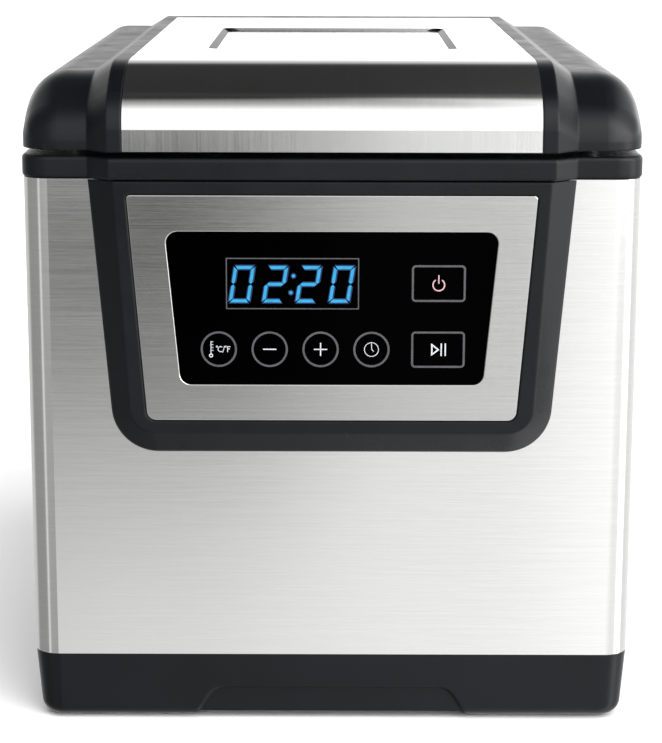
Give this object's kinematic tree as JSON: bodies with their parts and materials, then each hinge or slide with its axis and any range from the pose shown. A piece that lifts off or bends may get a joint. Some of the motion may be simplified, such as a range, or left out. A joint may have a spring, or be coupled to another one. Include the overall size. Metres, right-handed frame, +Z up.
{
  "type": "sous vide water oven",
  "caption": "Countertop sous vide water oven: steel-wrapped bath on a black base, front touch panel with a display, and a lid that swings up on a rear hinge.",
  "frame": {"origin": "middle of the footprint, on the underside of the rubber feet", "axes": "+Z up, front panel faces -Y, +X to the right seen from the front"},
  "size_m": [0.262, 0.376, 0.2875],
  "materials": {
    "black_plastic": "satin moulded",
    "case_steel": "brushed sideways",
    "lid_steel": "brushed front to back",
    "tank_steel": "deep drawn, satin",
    "panel_glass": "gloss, dark tinted",
    "foot_rubber": "moulded",
    "seal_rubber": "soft silicone",
    "foam": "soft foam",
    "heater_aluminium": "cast",
    "element_steel": "heat-tinted",
    "zinc_steel": "zinc plated",
    "circuit_board": "solder mask",
    "component_black": "moulded",
    "transformer_core": "varnished laminations",
    "relay_blue": "moulded",
    "fuse_ceramic": "glazed",
    "terminal_plastic": "moulded",
    "brass_pin": "nickelled",
    "ribbon": "flat cable",
    "lead_insulation": "silicone sleeve"
  },
  "bodies": {
    "case": {"base_tray": "black_plastic", "foot_front_left": "foot_rubber", "foot_front_right": "foot_rubber", "foot_rear_left": "foot_rubber", "foot_rear_right": "foot_rubber", "foot_screws": "zinc_steel", "body_wrap": "case_steel", "shell_screws": "zinc_steel", "top_rim": "black_plastic", "inner_tank": "tank_steel", "tank_seal": "seal_rubber", "tank_insulation": "foam", "heater_plate": "heater_aluminium", "heater_element": "element_steel", "heater_clamps": "zinc_steel", "heater_studs": "zinc_steel", "heater_nuts": "zinc_steel", "tank_sensor": "tank_steel", "thermal_cutout": "component_black", "power_board": "circuit_board", "power_board_screws": "zinc_steel", "power_transformer": "transformer_core", "power_relay": "relay_blue", "filter_capacitor": "component_black", "mains_fuse": "fuse_ceramic", "terminal_block": "terminal_plastic", "heater_leads": "lead_insulation", "ribbon_cable": "ribbon", "control_board": "circuit_board", "control_board_screws": "zinc_steel", "display_module": "component_black", "touch_pillars": "component_black", "buzzer": "component_black", "front_bezel": "black_plastic", "control_fascia": "case_steel", "display_glass": "panel_glass", "inlet_housing": "component_black", "inlet_pins": "brass_pin", "inlet_screws": "zinc_steel", "hinge_bracket_left": "black_plastic", "hinge_pin_left": "zinc_steel", "hinge_bracket_right": "black_plastic", "hinge_pin_right": "zinc_steel", "hinge_bracket_screws": "zinc_steel"},
    "lid": {"lid_cover": "black_plastic", "lid_panel": "lid_steel", "lid_liner": "black_plastic", "lid_gasket": "seal_rubber", "lid_insulation": "foam", "lid_screws": "zinc_steel", "lid_hinge_left": "black_plastic", "lid_hinge_right": "black_plastic", "lid_hinge_screws": "zinc_steel"}
  },
  "joints": [
    {"name": "lid_hinge", "type": "hinge", "parent": "case", "child": "lid", "pos_m": [0, 0.1832, 0.256], "axis": [-1, 0, 0], "range_deg": [0, 95]}
  ]
}
